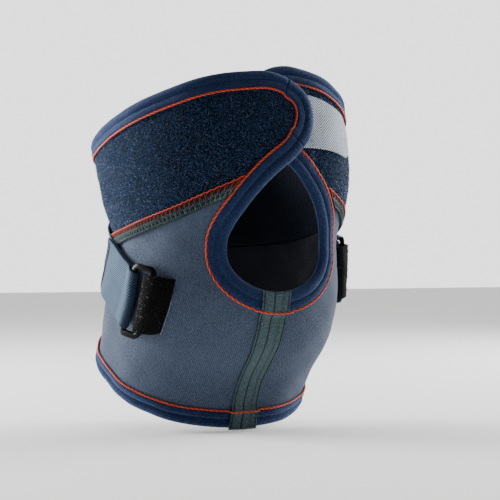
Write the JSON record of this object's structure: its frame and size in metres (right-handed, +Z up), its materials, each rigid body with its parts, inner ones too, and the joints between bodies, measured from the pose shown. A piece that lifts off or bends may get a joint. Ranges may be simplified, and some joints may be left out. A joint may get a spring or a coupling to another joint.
{
  "type": "patellar knee brace",
  "caption": "Wrap-around knee brace with an open kneecap hole, overlapping top flaps, buckled side straps and a front tape.",
  "frame": {"origin": "middle of the knee inside the sleeve, level with the widest part of the kneecap hole", "axes": "+Z up the leg, -Y out through the kneecap, +X to the right side of the front view"},
  "size_m": [0.1375, 0.1424, 0.1934],
  "materials": {
    "smooth_neoprene": "matte",
    "loop_plush": "matte",
    "binding_tape": "matte",
    "orange_piping": "satin",
    "sage_webbing": "matte",
    "grey_webbing": "matte",
    "blue_elastic": "matte",
    "black_plush": "matte",
    "black_plastic": "satin"
  },
  "bodies": {
    "root": {"lower_panel": "smooth_neoprene", "upper_panel": "loop_plush", "seam_band": "sage_webbing", "binding_hem": "binding_tape", "binding_rim": "binding_tape", "binding_hole": "binding_tape", "binding_flap_left": "binding_tape", "binding_flap_right": "binding_tape", "piping_hem": "orange_piping", "piping_upper": "orange_piping", "front_tape": "sage_webbing", "closure_tab": "grey_webbing", "elastic_strap": "blue_elastic", "buckle_left": "black_plastic", "buckle_right": "black_plastic", "loop_strap_left": "black_plush", "loop_strap_right": "black_plush"}
  },
  "joints": []
}
